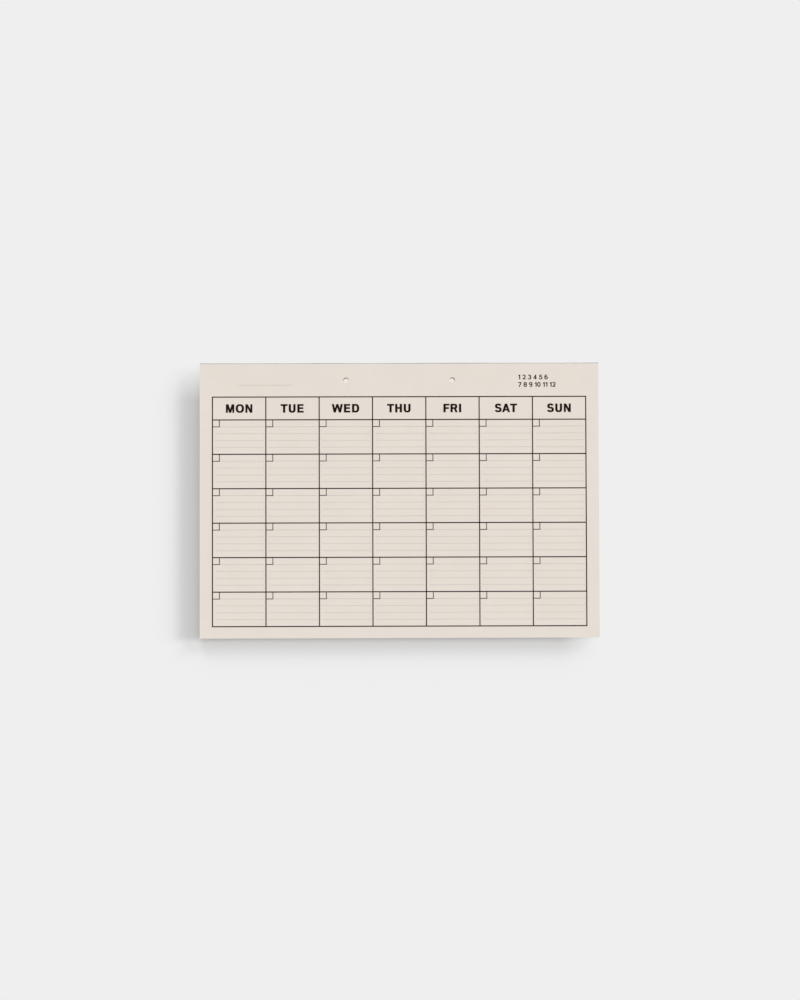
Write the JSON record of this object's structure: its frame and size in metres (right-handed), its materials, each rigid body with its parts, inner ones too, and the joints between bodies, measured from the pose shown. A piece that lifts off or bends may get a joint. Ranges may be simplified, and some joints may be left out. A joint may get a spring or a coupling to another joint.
{
  "type": "month planner pad",
  "caption": "Flat rectangular tear-off pad of printed month sheets on a grey board, glued along its long top edge and drilled through for filing or hanging.",
  "frame": {"origin": "under the middle of the pad, on the surface that it lies on", "axes": "+X across the page in reading direction, +Y up the page towards the glued edge, +Z out of the printed face"},
  "size_m": [0.3, 0.207, 0.0076],
  "materials": {
    "grey_board": "solid grey board, uncoated and matt",
    "recycled_paper": "uncoated warm off-white recycled paper",
    "binding_glue": "dried padding glue, slightly satin",
    "black_ink": "matt black offset ink"
  },
  "bodies": {
    "root": {"backing_board": "grey_board", "page_block": "recycled_paper", "glue_binding": "binding_glue", "printed_grid": "black_ink"}
  },
  "joints": []
}
